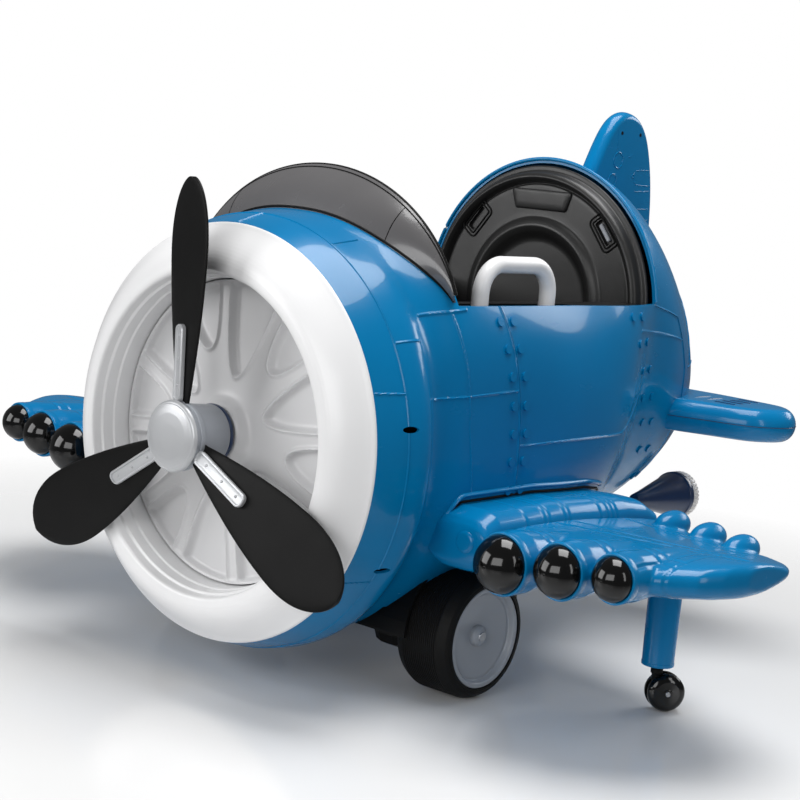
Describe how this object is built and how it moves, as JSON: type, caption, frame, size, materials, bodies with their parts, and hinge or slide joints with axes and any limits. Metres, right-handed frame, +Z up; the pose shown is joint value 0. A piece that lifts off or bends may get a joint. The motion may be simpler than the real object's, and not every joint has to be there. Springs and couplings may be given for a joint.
{
  "type": "ride-on toy airplane",
  "caption": "Child's ride-on toy airplane: round cowl with propeller, open cockpit with drive levers, stub wings with domed nacelles, drive wheels and swivel casters.",
  "frame": {"origin": "on the ground, at the centre of the whole airplane's bounding box", "axes": "+X towards the airplane's left wing tip, -Y towards the nose, +Z up"},
  "size_m": [1.1616, 0.96, 0.7063],
  "materials": {
    "blue": "glossy azure blow-moulded plastic",
    "dark_blue": "glossy dark teal-blue plastic",
    "white": "satin white plastic",
    "light_grey": "satin light grey plastic",
    "silver": "satin silver-grey plastic",
    "black_gloss": "glossy black plastic",
    "black_matt": "satin black plastic",
    "smoke": "smoked grey plastic sheet with a black rim",
    "wheel_grey": "satin grey plastic",
    "tyre": "black ribbed rubbery plastic",
    "steel": "plain zinc-plated steel",
    "lens": "frosted white lens plastic"
  },
  "bodies": {
    "airframe": {"battery": "black_matt", "chassis_frame": "steel", "cockpit_tub": "black_matt", "dash_panel": "black_matt", "drive_motor_left": "steel", "drive_motor_right": "steel", "exhaust_left": "dark_blue", "exhaust_lens_left": "lens", "exhaust_lens_right": "lens", "exhaust_right": "dark_blue", "front_fuselage": "blue", "gearbox_left": "black_matt", "gearbox_right": "black_matt", "head_pad": "black_matt", "main_axle": "steel", "main_fuselage": "blue", "nacelle_dome_left_1": "black_gloss", "nacelle_dome_left_2": "black_gloss", "nacelle_dome_left_3": "black_gloss", "nacelle_dome_right_1": "black_gloss", "nacelle_dome_right_2": "black_gloss", "nacelle_dome_right_3": "black_gloss", "nose_ring": "white", "prop_motor": "steel", "rosette_disc": "light_grey", "seat_back": "black_matt", "strut_left": "blue", "strut_right": "blue", "tail_fin": "blue", "tail_fuselage": "blue", "tailplane_left": "blue", "tailplane_right": "blue", "wheel_well_liner_left": "black_matt", "wheel_well_liner_right": "black_matt", "windshield": "smoke", "wing_left": "blue", "wing_right": "blue", "wing_root_left": "blue", "wing_root_right": "blue"},
    "propeller": {"prop_hub": "silver", "hub_cap": "silver", "blade_1": "black_matt", "blade_2": "black_matt", "blade_3": "black_matt", "blade_clamp_1": "silver", "blade_clamp_2": "silver", "blade_clamp_3": "silver"},
    "wheel_left": {"tyre_left": "tyre", "rim_left": "wheel_grey"},
    "wheel_right": {"tyre_right": "tyre", "rim_right": "wheel_grey"},
    "caster_swivel_left": {"caster_fork_left": "black_matt"},
    "caster_roll_left": {"caster_wheel_left": "black_gloss"},
    "caster_swivel_right": {"caster_fork_right": "black_matt"},
    "caster_roll_right": {"caster_wheel_right": "black_gloss"},
    "caster_swivel_rear": {"caster_fork_rear": "black_matt"},
    "caster_roll_rear": {"caster_wheel_rear": "black_gloss"},
    "lever_left": {"drive_lever_left": "white"},
    "lever_right": {"drive_lever_right": "white"},
    "power_switch": {"power_button": "silver"}
  },
  "joints": [
    {"name": "prop_spin", "type": "hinge", "parent": "airframe", "child": "propeller", "pos_m": [0, -0.4596, 0.28488], "axis": [0, -1, 0], "continuous": true},
    {"name": "wheel_spin_left", "type": "hinge", "parent": "airframe", "child": "wheel_left", "pos_m": [0.2076, -0.18912, 0.0744], "axis": [1, 0, 0], "continuous": true},
    {"name": "wheel_spin_right", "type": "hinge", "parent": "airframe", "child": "wheel_right", "pos_m": [-0.2076, -0.18912, 0.0744], "axis": [1, 0, 0], "continuous": true},
    {"name": "caster_swivel_left", "type": "hinge", "parent": "airframe", "child": "caster_swivel_left", "pos_m": [0.384, -0.0336, 0.054], "axis": [0, 0, 1], "continuous": true},
    {"name": "caster_roll_left", "type": "hinge", "parent": "caster_swivel_left", "child": "caster_roll_left", "pos_m": [0.39171, -0.02441, 0.02256], "axis": [-0.766, 0.6428, 0], "continuous": true},
    {"name": "caster_swivel_right", "type": "hinge", "parent": "airframe", "child": "caster_swivel_right", "pos_m": [-0.384, -0.0336, 0.054], "axis": [0, 0, 1], "continuous": true},
    {"name": "caster_roll_right", "type": "hinge", "parent": "caster_swivel_right", "child": "caster_roll_right", "pos_m": [-0.39171, -0.02441, 0.02256], "axis": [-0.766, -0.6428, 0], "continuous": true},
    {"name": "caster_swivel_rear", "type": "hinge", "parent": "airframe", "child": "caster_swivel_rear", "pos_m": [0, 0.1512, 0.054], "axis": [0, 0, 1], "continuous": true},
    {"name": "caster_roll_rear", "type": "hinge", "parent": "caster_swivel_rear", "child": "caster_roll_rear", "pos_m": [0, 0.1632, 0.02256], "axis": [-1, 0, 0], "continuous": true},
    {"name": "drive_lever_left", "type": "hinge", "parent": "airframe", "child": "lever_left", "pos_m": [0.1884, -0.12288, 0.3456], "axis": [1, 0, 0], "range_deg": [-15, 15], "stiffness_Nm_per_rad": 12},
    {"name": "drive_lever_right", "type": "hinge", "parent": "airframe", "child": "lever_right", "pos_m": [-0.1884, -0.12288, 0.3456], "axis": [1, 0, 0], "range_deg": [-15, 15], "stiffness_Nm_per_rad": 12},
    {"name": "power_button_press", "type": "slide", "parent": "airframe", "child": "power_switch", "axis": [0, -1, 0], "range_m": [0, 0.003], "stiffness_N_per_m": 400}
  ]
}
